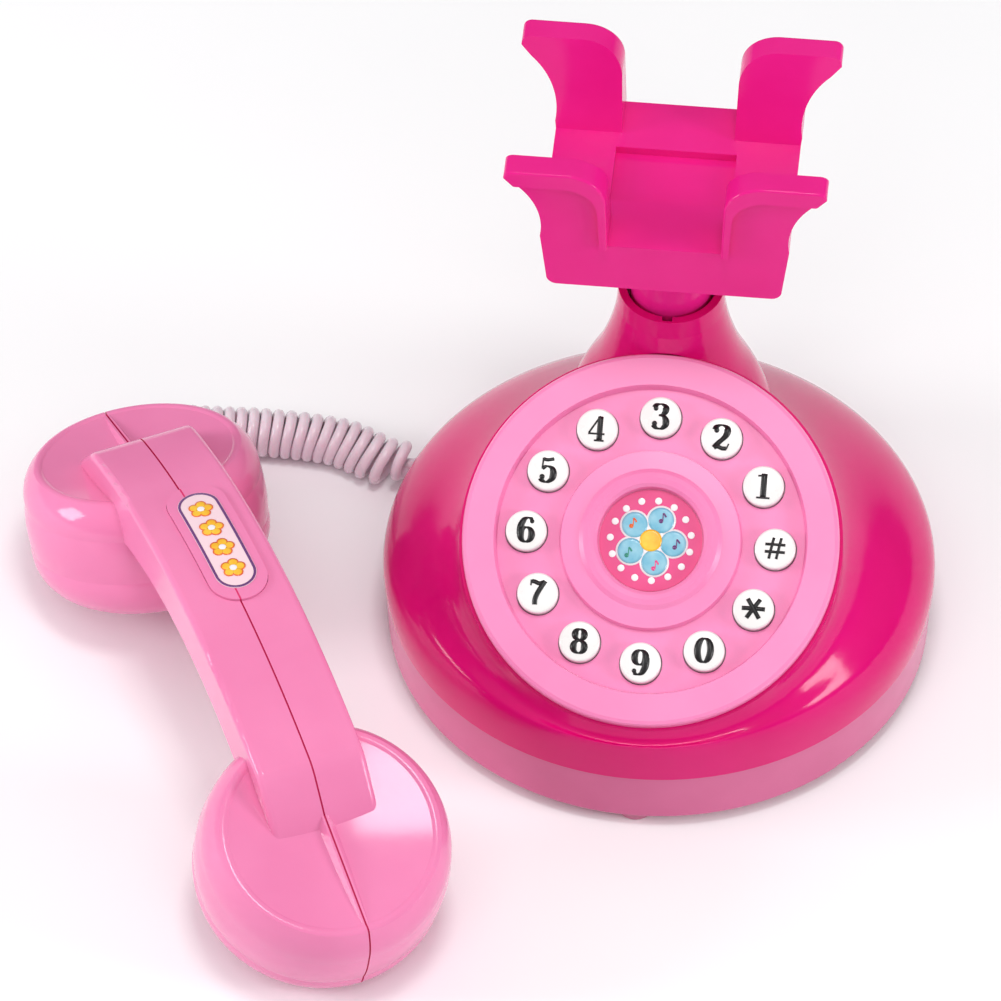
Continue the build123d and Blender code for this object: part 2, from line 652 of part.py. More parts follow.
with BuildPart() as power_switch_body:
    with Locations((SWITCH_X, SWITCH_Y, PAN_BOTTOM + WALL)):
        Box(8, 16, 5.5, align=STANDING)
        Box(4.4, 5.0 + SWITCH_TRAVEL, 3.0, align=STANDING, mode=Mode.SUBTRACT)
save(power_switch_body.part, "power_switch_body")

with BuildPart() as power_switch_knob:
    with Locations((SWITCH_X, SWITCH_Y - SWITCH_TRAVEL / 2, PAN_BOTTOM + 0.1)):
        Box(3.4, 4.2, 4.4, align=STANDING)
        with GridLocations(0, 1.4, 1, 3):
            Box(3.4, 0.5, 0.4, align=STANDING, mode=Mode.SUBTRACT)
save(power_switch_knob.part, "power_switch_knob")

# cell contacts at both ends of the battery box: flat plates and coiled springs
with BuildPart() as contact_plates:
    for side in (-1, 1):
        with Locations((side * (BATTERY_X / 2 - 0.25), BATTERY_CENTRE_Y, CELL_Z - 5.0)):
            Box(0.5, 28, 11, align=STANDING)
save(contact_plates.part, "contact_plates")

with BuildPart() as contact_springs:
    for side in (-1, 1):
        spring_root = (-side * (BATTERY_X / 2 - 0.6), BATTERY_CENTRE_Y + side * CELL_OFFSET_Y, CELL_Z)
        with BuildSketch(Plane(spring_root, x_dir=(0, 1, 0), z_dir=(side, 0, 0))):
            Circle(4.0)
            Circle(3.2, mode=Mode.SUBTRACT)
        extrude(amount=3.2)
save(contact_springs.part, "contact_springs")

# ---- handset ------------------------------------------------------------------------------------
ARCH_Z = HANDLE_TOP - HANDLE_ARCH_R
DISH_DEPTH = 2.2           # each cap's back is dished, with a ridge along the parting line
ARCH_END = {-1: 58.0, 1: 67.0}    # the handle's arch stops here and runs down into each dish
RAMP = {
    -1: [(64.4, 51.6), (69.0, 45.8), (75.0, 38.6)],
    1: [(72.5, 48.6), (76.5, 43.4), (82.0, 36.5)],
}


def arch_height(t, drop):
    """Height of the handle's top line at t along the handset, less drop."""
    return ARCH_Z + sqrt((HANDLE_ARCH_R - drop) ** 2 - t * t)


def handset_volume(inset):
    """Both caps and the arched handle, all surfaces drawn in by inset."""
    low_end = HANDLE_TOP - HANDLE_DEPTH - 8.0 + inset
    near = [(0.5 * inset - t, z - inset) for t, z in reversed(RAMP[-1])]
    far = [(t - 0.5 * inset, z - inset) for t, z in RAMP[1]]
    with BuildPart() as volume:
        with BuildSketch(HANDSET_MID.offset(-HANDLE_HALF_W + inset)):
            with BuildLine():
                top = ThreePointArc(
                    (-ARCH_END[-1], arch_height(ARCH_END[-1], inset)),
                    (0, HANDLE_TOP - inset),
                    (ARCH_END[1], arch_height(ARCH_END[1], inset)),
                )
                Spline(top @ 1, *far, tangents=(top % 1, (0.85, -0.6)))
                tuck = Polyline(far[-1], (far[-1][0], 30), (48, 30), (42, low_end))
                low = ThreePointArc(tuck @ 1, (0, HANDLE_TOP - HANDLE_DEPTH + inset), (-42, low_end))
                Polyline(low @ 1, (-48, 30), (near[0][0], 30), near[0])
                Spline(*near, top @ 0, tangents=((0.85, 0.6), top % 0))
            make_face()
        extrude(amount=2 * (HANDLE_HALF_W - inset))
        arch_edges = volume.edges().filter_by(GeomType.CIRCLE).group_by(Axis.Z)[-1]
        ramp_edges = volume.edges().filter_by(GeomType.BSPLINE)
        fillet(arch_edges + ramp_edges, HANDLE_ROUND)
        for end in (-1, 1):
            cap = cap_plane(end)
            rim_r = CAP_R[end] - inset
            rim_z = CAP_TOP[end] - inset
            # drawn across the handset, so that the turned faces close at the caps' sides
            with BuildSketch(Plane(origin=cap.origin, x_dir=cap.z_dir, z_dir=cap.z_dir.cross(cap.y_dir))):
                with BuildLine():
                    face = Line((0, CAP_FACE + inset), (rim_r - 10.2 + inset, CAP_FACE + inset))
                    low_round = ThreePointArc(
                        face @ 1, (rim_r - 3.0 + inset * 0.2, -14.6 + inset * 0.6), (rim_r - 0.4, -5.0)
                    )
                    belly = ThreePointArc(low_round @ 1, (rim_r, 1.5), (rim_r - 0.6, 8.0))
                    shoulder = ThreePointArc(
                        belly @ 1, (rim_r - 1.7, 13.8 - inset * 0.4), (rim_r - 4.6 + inset * 0.5, rim_z - 0.2)
                    )
                    crown = ThreePointArc(
                        shoulder @ 1,
                        (rim_r - 5.7 + inset * 0.5, rim_z + 0.1),
                        (rim_r - 7.0 + inset * 0.5, rim_z - 0.3),
                    )
                    dish = ThreePointArc(
                        crown @ 1, (rim_r / 2 - 3.5, rim_z - 0.77 * DISH_DEPTH), (0, rim_z - DISH_DEPTH)
                    )
                    Line(dish @ 1, face @ 0)
                make_face()
            revolve(axis=Axis(cap.origin, cap.y_dir))
            # ridge along the parting line, flush with the rim
            ridge = Plane(
                origin=cap.from_local_coords(Vector(0, rim_z - 0.2, 0)), x_dir=cap.x_dir, z_dir=-cap.y_dir
            )
            with BuildSketch(ridge):
                Rectangle(2 * rim_r - 13, 1.6)
            extrude(amount=3.0, taper=-35)
    return volume.part


BADGE_T = 15.4             # middle of the oval badge, along the handset
BADGE_SIDE = -2.0          # and to its right
BADGE_LENGTH = 47.0
BADGE_WIDTH = 16.5
HANDSET_POSTS = ((27, 54, HANDLE_HALF_W - 1), (-27, 54, HANDLE_HALF_W - 1), (66, 26, 31.6), (-66, 26, 32.6))
POST_BITE = 8.0            # screw depth beyond the middle plane
SCREW_SEAT = 5.0           # screw heads bear this far right of the middle plane


def arch_band(low, high, length, width):
    """A slot-shaped plate that follows the handle's arch, between two heights from its top line."""
    with BuildPart() as band:
        with BuildSketch(HANDSET_FLAT.offset(HANDLE_TOP - 20)):
            with Locations((BADGE_T, BADGE_SIDE)):
                SlotOverall(length, width)
        extrude(amount=30)
        with BuildSketch(HANDSET_MID.offset(-width)):
            with Locations((0, ARCH_Z)):
                Circle(HANDLE_ARCH_R + high)
                Circle(HANDLE_ARCH_R + low, mode=Mode.SUBTRACT)
        extrude(amount=2 * width, mode=Mode.INTERSECT)
    return band.part


GROOVE_WIDTH = 0.44
GROOVE_DEPTH = 0.55
BOOT_T = 96.0             # where the cord's boot leaves the far cap
BOOT_COLLAR = 4.0         # plain collar inside the cap's wall
BOOT_Z = 12.5
boot_root = HANDSET_MID.from_local_coords(Vector(BOOT_T - 3, BOOT_Z, 0))
BOOT = Plane(origin=boot_root, x_dir=(0, 0, 1), z_dir=handset_along)


with BuildPart() as groove:
    with BuildSketch(HANDSET_MID.offset(-GROOVE_WIDTH / 2)):
        Rectangle(260, 160)
    extrude(amount=GROOVE_WIDTH)
    add(handset_volume(GROOVE_DEPTH), mode=Mode.SUBTRACT)
parting_groove = groove.part


def handset_half(keep):
    """One of the two shells, split along the handset's upright middle plane."""
    with BuildPart() as half:
        add(handset_volume(0))
        add(handset_volume(WALL), mode=Mode.SUBTRACT)
        # screw posts across the handle and the caps, bored for screws put in from the right
        for post_t, post_z, reach in HANDSET_POSTS:
            with BuildSketch(HANDSET_MID.offset(-reach)):
                with Locations((post_t, post_z)):
                    Circle(3.4)
            extrude(amount=2 * reach)
            with BuildSketch(HANDSET_MID.offset(-POST_BITE)):
                with Locations((post_t, post_z)):
                    Circle(1.25)
            extrude(amount=reach + POST_BITE, mode=Mode.SUBTRACT)
            with BuildSketch(HANDSET_MID.offset(SCREW_SEAT)):
                with Locations((post_t, post_z)):
                    Circle(2.7)
            extrude(amount=40, mode=Mode.SUBTRACT)
        # pocket for the badge
        add(arch_band(-1.2, 6, BADGE_LENGTH, BADGE_WIDTH), mode=Mode.SUBTRACT)
        # sound holes in each face
        for end in (-1, 1):
            cap = cap_plane(end)
            face_centre = cap.from_local_coords(Vector(0, CAP_FACE, 0))
            face = Plane(origin=face_centre, x_dir=cap.x_dir, z_dir=cap.y_dir)
            with BuildSketch(face.offset(-1)):
                with PolarLocations(7, 6):
                    Circle(1.2)
                with PolarLocations(13, 12):
                    Circle(1.2)
            extrude(amount=4, mode=Mode.SUBTRACT)
        # hole for the cord's boot, with a seat for its flange
        with BuildSketch(BOOT):
            Circle(3.6)
        extrude(amount=12, mode=Mode.SUBTRACT)
        with BuildSketch(BOOT.offset(BOOT_COLLAR - 0.1)):
            Circle(5.2)
        extrude(amount=12, mode=Mode.SUBTRACT)
        # fine groove along the parting line
        add(parting_groove, mode=Mode.SUBTRACT)
        split(bisect_by=HANDSET_MID, keep=keep)
    return half.part


handset_left_shell = handset_half(Keep.BOTTOM)
handset_right_shell = handset_half(Keep.TOP)
save(handset_left_shell, "handset_left_shell")
save(handset_right_shell, "handset_right_shell")

with BuildPart() as handset_screws:
    for post_t, post_z, reach in HANDSET_POSTS:
        head = HANDSET_MID.from_local_coords(Vector(post_t, post_z, SCREW_SEAT + 1.8))
        with Locations(Plane(origin=head, x_dir=(0, 0, 1), z_dir=-handset_side)):
            add(pan_screw(2.4, 1.2, SCREW_SEAT + POST_BITE - 1))
save(handset_screws.part, "handset_screws")

with BuildPart() as handset_badge:
    add(arch_band(-1.2, 0.7, BADGE_LENGTH - 0.2, BADGE_WIDTH - 0.2))
save(handset_badge.part, "handset_badge")

with BuildPart() as badge_sticker:
    add(arch_band(0.7, 0.85, 39.0, 11.4))
save(badge_sticker.part, "badge_sticker")

# ---- cord ---------------------------------------------------------------------------------------
BOOT_LENGTH = 8.0
GLAND_LENGTH = 7.0
with BuildPart() as handset_boot:
    with BuildSketch(BOOT):
        Circle(3.5)
    extrude(amount=BOOT_COLLAR)
    with BuildSketch(BOOT.offset(BOOT_COLLAR)):
        Circle(5.0)
    with BuildSketch(BOOT.offset(BOOT_LENGTH)):
        Circle(3.0)
    loft()
save(handset_boot.part, "handset_boot")

with BuildPart() as cord_gland:
    with BuildSketch(GLAND):
        Circle(2.9)
    extrude(amount=4.2)
    with BuildSketch(GLAND.offset(4.2)):
        Circle(4.2)
    with BuildSketch(GLAND.offset(GLAND_LENGTH)):
        Circle(2.6)
    loft()
save(cord_gland.part, "cord_gland")

COIL_Z = COIL_D / 2 + 0.1
boot_tip = BOOT.from_local_coords(Vector(0, 0, BOOT_LENGTH))
gland_tip = GLAND.from_local_coords(Vector(0, 0, GLAND_LENGTH))
first_bend = boot_tip + handset_along * 4.4
TAIL_OUT = [
    (boot_tip.X, boot_tip.Y, boot_tip.Z),
    (first_bend.X, first_bend.Y, first_bend.Z),
    (-158.7, 42.3, 12.0),
    (-157.2, 46.4, 10.9),
    (-154.1, 49.5, 9.6),
    (-150.0, 51.0, 8.2),
    (-145.5, 51.0, COIL_Z),
]
COIL_ROUTE = [
    (-145.5, 51.0, COIL_Z),
    (-130.5, 51.6, COIL_Z),
    (-115.0, 52.4, COIL_Z),
    (-101.4, 51.9, COIL_Z),
    (-88.8, 50.2, COIL_Z),
    (-76.5, 46.9, COIL_Z),
]
TAIL_IN = [
    (-76.5, 46.9, COIL_Z),
    (-70.9, 46.6, 8.2),
    (gland_tip.X, gland_tip.Y, gland_tip.Z),
]


def cord_tube(route, diameter, name):
    """A round cord along a hand-laid route, its corners rounded as far as the runs allow."""
    points = [Vector(*point) for point in route]
    radii = []
    for before, corner, after in zip(points, points[1:], points[2:]):
        turn = radians((corner - before).get_angle(after - corner))
        radii.append(0.45 * min((corner - before).length, (after - corner).length) / tan(turn / 2))
    with BuildPart() as tube:
        with BuildLine():
            path = FilletPolyline(*points, radius=radii)
        with BuildSketch(Plane(origin=path @ 0, z_dir=path % 0)):
            Circle(diameter / 2)
        sweep()
    save(tube.part, name)
    print(name, "radii", [round(radius, 1) for radius in radii], "length", round(path.length, 1),
          "volume", round(tube.part.volume), "section x length", round(pi * diameter ** 2 / 4 * path.length))


cord_tube(TAIL_OUT, WIRE_D, "cord_tail_handset")
cord_tube(COIL_ROUTE, COIL_D, "cord_coil")
cord_tube(TAIL_IN, WIRE_D, "cord_tail_base")
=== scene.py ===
"""Toy desk telephone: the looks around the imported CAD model. Lengths are in millimetres until they
reach Blender, where mm() turns a point into metres."""
import math

import bpy
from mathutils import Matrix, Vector


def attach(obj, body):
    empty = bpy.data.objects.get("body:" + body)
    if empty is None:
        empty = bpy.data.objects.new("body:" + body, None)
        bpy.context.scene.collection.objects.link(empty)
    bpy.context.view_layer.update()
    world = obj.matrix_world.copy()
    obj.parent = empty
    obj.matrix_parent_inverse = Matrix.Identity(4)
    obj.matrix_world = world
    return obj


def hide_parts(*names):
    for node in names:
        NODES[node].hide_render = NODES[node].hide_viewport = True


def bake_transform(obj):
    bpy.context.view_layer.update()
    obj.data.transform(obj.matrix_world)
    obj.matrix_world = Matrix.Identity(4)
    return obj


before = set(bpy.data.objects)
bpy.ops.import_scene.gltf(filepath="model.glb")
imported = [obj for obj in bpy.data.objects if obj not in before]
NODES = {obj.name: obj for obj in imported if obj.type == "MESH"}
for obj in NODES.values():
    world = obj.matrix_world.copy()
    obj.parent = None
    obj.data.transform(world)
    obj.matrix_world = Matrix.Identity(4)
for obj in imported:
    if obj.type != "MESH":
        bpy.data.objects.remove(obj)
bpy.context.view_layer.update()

# the handset lies along ALONG, with its parting line over HANDSET_CENTRE, and ASIDE points to its right
HANDSET_CENTRE = Vector((-110.0, -55.8, 0))
HANDSET_ANGLE = math.radians(117.4)
ALONG = Vector((math.cos(HANDSET_ANGLE), math.sin(HANDSET_ANGLE), 0))
ASIDE = Vector((ALONG.y, -ALONG.x, 0))
MM = 0.001


def mm(*point):
    """A point given in millimetres, in metres."""
    return Vector(point) * MM


# ---- camera -------------------------------------------------------------------------------------
VIEW_TARGET = mm(-45.3, 20.1, 22.1)
VIEW_AZIMUTH = math.radians(5.7)
VIEW_ELEVATION = math.radians(48.03)
VIEW_DISTANCE = 3.0
VIEW_LENS = 394.4
SENSOR_WIDTH = 36


def direction(azimuth, elevation):
    """Unit vector from the object towards a camera or light; azimuth 0 is in front of the dial."""
    flat = math.cos(elevation)
    return Vector((math.sin(azimuth) * flat, -math.cos(azimuth) * flat, math.sin(elevation)))


def aim(item, place, target):
    """Put a camera or light at a place, looking at a target."""
    item.location = place
    item.rotation_euler = (target - place).to_track_quat("-Z", "Y").to_euler()


camera_data = bpy.data.cameras.new("camera")
camera_data.lens = VIEW_LENS
camera_data.sensor_width = SENSOR_WIDTH
camera_data.clip_start = 0.1
camera = bpy.data.objects.new("camera", camera_data)
bpy.context.scene.collection.objects.link(camera)
aim(camera, VIEW_TARGET + direction(VIEW_AZIMUTH, VIEW_ELEVATION) * VIEW_DISTANCE, VIEW_TARGET)
bpy.context.scene.camera = camera


# ---- materials ----------------------------------------------------------------------------------
COAT_ROUGHNESS = 0.06
SKIN_RADIUS = (1.0, 0.35, 0.45)     # how far red, green and blue light spread under the surface
SKIN_DEPTH = 0.003
CLOUD_EDGES = (0.32, 0.68)
SMEAR_FINENESS = 4                  # the uneven gloss is finer than the clouds of colour by this factor
GLOSS_SPREAD = 0.08
RELIEF_DEPTH = 0.0002


def linear(red, green, blue):
    """A colour given as 0-255 screen values, in the linear values that shaders use."""
    out = []
    for value in (red, green, blue):
        share = value / 255
        out.append(share / 12.92 if share <= 0.04045 else ((share + 0.055) / 1.055) ** 2.4)
    return (*out, 1.0)


def link(tree, source, output, target, socket):
    tree.links.new(source.outputs[output], target.inputs[socket])


def moulded(name, low, high, roughness, cloud=35, grain=900, relief=0.05, coat=0.0, metallic=0.0,
            speck=0.0, translucent=0.0, shine=0.5):
    """Moulded plastic, rubber or metal: cloudy colour between two tones, fine relief and uneven gloss."""
    material = bpy.data.materials.new(name)
    material.use_nodes = True
    tree = material.node_tree
    shader = tree.nodes["Principled BSDF"]
    shader.inputs["Metallic"].default_value = metallic
    shader.inputs["Coat Weight"].default_value = coat
    shader.inputs["Coat Roughness"].default_value = COAT_ROUGHNESS
    shader.inputs["Specular IOR Level"].default_value = shine
    shader.inputs["Subsurface Weight"].default_value = translucent
    shader.inputs["Subsurface Radius"].default_value = SKIN_RADIUS
    shader.inputs["Subsurface Scale"].default_value = SKIN_DEPTH
    place = tree.nodes.new("ShaderNodeTexCoord")

    clouds = tree.nodes.new("ShaderNodeTexNoise")
    clouds.inputs["Scale"].default_value = cloud
    clouds.inputs["Detail"].default_value = 3
    link(tree, place, "Object", clouds, "Vector")
    ramp = tree.nodes.new("ShaderNodeValToRGB")
    for stop, edge, tone in zip(ramp.color_ramp.elements, CLOUD_EDGES, (low, high)):
        stop.position = edge
        stop.color = linear(*tone)
    link(tree, clouds, "Fac", ramp, "Fac")
    if speck:
        # a few darker flecks, as in rubber and board
        flecks = tree.nodes.new("ShaderNodeTexVoronoi")
        flecks.inputs["Scale"].default_value = grain
        link(tree, place, "Object", flecks, "Vector")
        darken = tree.nodes.new("ShaderNodeMix")
        darken.data_type = "RGBA"
        darken.blend_type = "MULTIPLY"
        darken.inputs["Factor"].default_value = speck
        tree.links.new(ramp.outputs["Color"], darken.inputs["A"])
        tree.links.new(flecks.outputs["Distance"], darken.inputs["B"])
        tree.links.new(darken.outputs["Result"], shader.inputs["Base Color"])
    else:
        link(tree, ramp, "Color", shader, "Base Color")

    smears = tree.nodes.new("ShaderNodeTexNoise")
    smears.inputs["Scale"].default_value = cloud * SMEAR_FINENESS
    smears.inputs["Detail"].default_value = 5
    link(tree, place, "Object", smears, "Vector")
    gloss = tree.nodes.new("ShaderNodeMapRange")
    gloss.inputs["From Min"].default_value = 0.3
    gloss.inputs["From Max"].default_value = 0.7
    gloss.inputs["To Min"].default_value = roughness * (1 - GLOSS_SPREAD)
    gloss.inputs["To Max"].default_value = roughness * (1 + GLOSS_SPREAD)
    link(tree, smears, "Fac", gloss, "Value")
    link(tree, gloss, "Result", shader, "Roughness")

    fine = tree.nodes.new("ShaderNodeTexNoise")
    fine.inputs["Scale"].default_value = grain
    fine.inputs["Detail"].default_value = 2
    link(tree, place, "Object", fine, "Vector")
    bump = tree.nodes.new("ShaderNodeBump")
    bump.inputs["Strength"].default_value = relief
    bump.inputs["Distance"].default_value = RELIEF_DEPTH
    link(tree, fine, "Fac", bump, "Height")
    link(tree, bump, "Normal", shader, "Normal")
    return material


HOT = moulded("hot_pink_plastic", (208, 6, 106), (215, 12, 113), 0.12, relief=0.02,
              translucent=0.04, shine=0.25)
CRADLE_PINK = moulded("cradle_pink_plastic", (222, 24, 128), (228, 32, 135), 0.14, relief=0.02,
                      translucent=0.06, shine=0.22)
PAN_PINK = moulded("pan_pink_plastic", (202, 98, 142), (210, 106, 150), 0.24, relief=0.03, shine=0.3)
LIGHT_PINK = moulded("light_pink_plastic", (231, 126, 173), (236, 133, 179), 0.12, relief=0.02,
                     coat=0.1, translucent=0.06, shine=0.3)
DIAL_PINK = moulded("dial_pink_plastic", (238, 130, 182), (242, 137, 188), 0.3, relief=0.04, coat=0.05,
                    translucent=0.06)
BUTTON_WHITE = moulded("button_white_plastic", (232, 230, 228), (240, 239, 237), 0.28, relief=0.04, coat=0.1)
INK = moulded("black_ink", (10, 9, 11), (18, 16, 19), 0.35, grain=2500, relief=0.1)
CORD_PINK = moulded("cord_plastic", (222, 204, 214), (232, 216, 224), 0.28, grain=600, relief=0.1, coat=0.2,
                    translucent=0.25)
RUBBER = moulded("foot_rubber", (196, 116, 146), (210, 130, 158), 0.6, grain=1500, relief=0.3, speck=0.15)
MEMBRANE = moulded("membrane_rubber", (176, 176, 172), (190, 190, 186), 0.7, grain=1500, relief=0.3,
                   speck=0.1)
BOARD = moulded("circuit_board_green", (24, 74, 34), (34, 92, 44), 0.45, grain=1800, relief=0.2, speck=0.3)
BLACK = moulded("switch_black_plastic", (18, 18, 20), (30, 30, 32), 0.5, grain=1400, relief=0.3)
CELL = moulded("cell_wrap_green", (30, 92, 54), (42, 112, 68), 0.25, grain=400, relief=0.05, coat=0.3)
BRIGHT = moulded("plated_steel", (150, 150, 148), (186, 186, 184), 0.3, grain=700, relief=0.15, metallic=1.0)
SPRING = moulded("spring_steel", (120, 120, 124), (158, 158, 162), 0.35, grain=900, relief=0.2, metallic=1.0)
MAGNET = moulded("speaker_steel", (88, 88, 92), (118, 118, 122), 0.4, grain=700, relief=0.2, metallic=1.0)
PAPER = moulded("speaker_paper", (26, 26, 27), (44, 44, 45), 0.85, grain=1600, relief=0.5, speck=0.4)
STICKER_PINK = moulded("sticker_pink", (222, 66, 130), (230, 74, 138), 0.2, coat=0.5, relief=0.02)
STICKER_PALE = moulded("sticker_pale", (240, 206, 216), (246, 216, 224), 0.2, coat=0.5, relief=0.02)
PRINT_WHITE = moulded("print_white", (236, 232, 234), (246, 242, 244), 0.25, coat=0.4, relief=0.02)
PRINT_BLUE = moulded("print_blue", (104, 178, 204), (142, 198, 216), 0.25, cloud=300, coat=0.4, relief=0.02)
PRINT_YELLOW = moulded("print_yellow", (240, 172, 16), (248, 204, 60), 0.25, cloud=240, coat=0.4, relief=0.02)
PRINT_ORANGE = moulded("print_orange", (226, 92, 44), (240, 128, 52), 0.25, cloud=300, coat=0.4, relief=0.02)
PRINT_GREEN = moulded("print_green", (34, 132, 112), (48, 150, 128), 0.25, coat=0.4, relief=0.02)
PRINT_PURPLE = moulded("print_purple", (92, 48, 110), (112, 62, 128), 0.25, coat=0.4, relief=0.02)
SEAM_HALF_WIDTH = 0.24


def paint_seam_shade(material, colour):
    """Painted shade: a deeper colour painted in the fine groove between the handset's halves, a plane across
    ASIDE, standing in for the shade that falls in the groove.
    """
    tree = material.node_tree
    shader = tree.nodes["Principled BSDF"]
    body_colour = shader.inputs["Base Color"].links[0].from_socket
    place = tree.nodes.new("ShaderNodeTexCoord")
    across = tree.nodes.new("ShaderNodeVectorMath")
    across.operation = "DOT_PRODUCT"
    across.inputs[1].default_value = ASIDE
    link(tree, place, "Object", across, 0)
    centred = tree.nodes.new("ShaderNodeMath")
    centred.operation = "SUBTRACT"
    centred.inputs[1].default_value = HANDSET_CENTRE.dot(ASIDE) * MM
    link(tree, across, "Value", centred, 0)
    distance = tree.nodes.new("ShaderNodeMath")
    distance.operation = "ABSOLUTE"
    link(tree, centred, "Value", distance, 0)
    inside = tree.nodes.new("ShaderNodeMath")
    inside.operation = "LESS_THAN"
    inside.inputs[1].default_value = SEAM_HALF_WIDTH * MM
    link(tree, distance, "Value", inside, 0)
    blend = tree.nodes.new("ShaderNodeMix")
    blend.data_type = "RGBA"
    blend.inputs["B"].default_value = linear(*colour)
    link(tree, inside, "Value", blend, "Factor")
    tree.links.new(body_colour, blend.inputs["A"])
    tree.links.new(blend.outputs["Result"], shader.inputs["Base Color"])


# painted shade: the handset's light pink is drawn deep pink inside the groove between its halves, where shade
# falls
paint_seam_shade(LIGHT_PINK, (214, 44, 104))

NODE_MATERIALS = {
    HOT: ["upper_shell", "spring_seat"],
    CRADLE_PINK: ["cradle", "cradle_stem"],
    PAN_PINK: ["base_pan", "battery_door"],
    LIGHT_PINK: ["handset_left_shell", "handset_right_shell", "handset_badge"],
    DIAL_PINK: ["dial_plate", "stem_bush"],
    RUBBER: ["feet"],
    MEMBRANE: ["keypad_membrane"],
    BOARD: ["key_board", "main_board"],
    BLACK: ["hook_switch", "sound_chip", "power_switch_body", "power_switch_knob"],
    CELL: ["batteries"],
    BRIGHT: [
        "contact_plates", "contact_springs", "shell_screws", "battery_door_screw", "key_board_screws",
        "cradle_screw", "handset_screws",
    ],
    SPRING: ["cradle_spring", "stem_clip"],
    MAGNET: ["speaker_frame", "speaker_magnet"],
    PAPER: ["speaker_cone"],
    STICKER_PINK: ["dial_sticker"],
    STICKER_PALE: ["badge_sticker"],
    CORD_PINK: ["cord_gland", "handset_boot", "cord_coil", "cord_tail_handset", "cord_tail_base"],
    BUTTON_WHITE: [name for name in NODES if name.startswith("button_")],
}
for material, names in NODE_MATERIALS.items():
    for name in names:
        NODES[name].data.materials.clear()
        NODES[name].data.materials.append(material)


# ---- making pieces ------------------------------------------------------------------------------
def new_piece(name, points, faces, material, body, slot):
    """A mesh piece from points in metres, riding on a CAD body."""
    mesh = bpy.data.meshes.new(name)
    mesh.from_pydata([tuple(point) for point in points], [], faces)
    mesh.materials.append(material)
    mesh.validate()
    mesh.update()
    piece = bpy.data.objects.new(name, mesh)
    bpy.context.scene.collection.objects.link(piece)
    for polygon in mesh.polygons:
        polygon.use_smooth = True
    if body:
        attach(piece, body)
    return piece


def thicken(piece, name, thickness, offset):
    """Give a flat printed sheet its thickness, in millimetres; offset 0 is to both sides, -1 is downward."""
    film = piece.modifiers.new(name, "SOLIDIFY")
    film.thickness = thickness * MM
    film.offset = offset


def ring(count, radius, first, x=0, y=0, clockwise=False):
    """Spots evenly spaced round a centre, the first one at an angle in degrees."""
    step = (-360 if clockwise else 360) / count
    angles = [math.radians(first + step * k) for k in range(count)]
    return [(x + radius * math.cos(angle), y + radius * math.sin(angle)) for angle in angles]


# ---- the curly cord -----------------------------------------------------------------------------
WIRE_R = 1.6
COIL_OUTER_R = 6.9
COIL_R = COIL_OUTER_R - WIRE_R
COIL_Z = 7.0
BOOT_REACH = 101.0
BOOT_Z = 12.5
BOOT_TIP = HANDSET_CENTRE + ALONG * BOOT_REACH + Vector((0, 0, BOOT_Z))
GLAND_ANGLE = math.radians(144.0)
GLAND_REACH = 77
GLAND_Z = 9.4
GLAND_TIP = Vector((math.cos(GLAND_ANGLE) * GLAND_REACH, math.sin(GLAND_ANGLE) * GLAND_REACH, GLAND_Z))
CORD_ROUTE = [
    tuple(BOOT_TIP),
    tuple(BOOT_TIP + ALONG * 4.4),
    (-158.7, 42.3, 12.0),
    (-157.2, 46.4, 10.9),
    (-154.1, 49.5, 9.6),
    (-150.0, 51.0, 8.2),
    (-145.5, 51.0, COIL_Z),
    (-130.5, 51.6, COIL_Z),
    (-115.0, 52.4, COIL_Z),
    (-101.4, 51.9, COIL_Z),
    (-88.8, 50.2, COIL_Z),
    (-76.5, 46.9, COIL_Z),
    (-70.9, 46.6, 8.2),
    tuple(GLAND_TIP),
]


def route_line(route):
    """Points along the route's smooth line, in millimetres, read from a NURBS curve with no bevel."""
    curve = bpy.data.curves.new("route", "CURVE")
    curve.dimensions = "3D"
    curve.resolution_u = 24
    spline = curve.splines.new("NURBS")
    spline.points.add(len(route) - 1)
    for point, place in zip(spline.points, route):
        point.co = (*place, 1.0)
    spline.order_u = 3
    spline.use_endpoint_u = True
    holder = bpy.data.objects.new("route", curve)
    line = [vertex.co.copy() for vertex in bpy.data.meshes.new_from_object(holder).vertices]
    bpy.data.objects.remove(holder)
    return line


def spaced(line, step):
    """The same line with points a step apart, and the distance of each along it."""
    out = [line[0]]
    run = [0.0]
    walked = 0.0
    due = step
    for before, after in zip(line, line[1:]):
        length = (after - before).length
        while length > 0 and walked + length >= due:
            out.append(before.lerp(after, (due - walked) / length))
            run.append(due)
            due += step
        walked += length
    if walked - run[-1] > step / 2:
        out.append(line[-1])
        run.append(walked)
    else:
        out[-1] = line[-1]
        run[-1] = walked
    return out, run


def carried_frames(line):
    """Two unit vectors across the line at each point, carried along it without twist."""
    side = Vector((0, 0, 1))
    frames = []
    for index in range(len(line)):
        ahead = (line[min(index + 1, len(line) - 1)] - line[max(index - 1, 0)]).normalized()
        side = (side - ahead * side.dot(ahead)).normalized()
        frames.append((side, ahead.cross(side)))
    return frames


def eased(share):
    """A share held between 0 and 1, with soft ends."""
    share = min(1.0, max(0.0, share))
    return share * share * (3 - 2 * share)


# distances along the route are from the handset's boot
STEP = 0.1
CURL_START = 27.5
CURL_END = 101.0
SWELL_IN = 4.0             # the coils grow to their full size and shrink again over these lengths
SWELL_OUT = 5.0
PITCH = 3.36
PITCH_OPEN = 5.0           # the last turns before the base are drawn open
OPEN_FROM = 86.0
OPEN_SPAN = 12.0
SAG = 3.0                  # how far the stretch beside the base sags towards the front
SAG_FROM = 78.0
SAG_SPAN = 16.0
SAG_END_SPAN = 12.0
LEAN = 1.0                 # each turn leans along the cord, and more so towards the base
LEAN_AT_BASE = 2.6
LEAN_FROM = 55.0
LEAN_SPAN = 35.0
WIRE_STEP = 1.1
FLOOR_GAP = 0.05
AROUND = 10


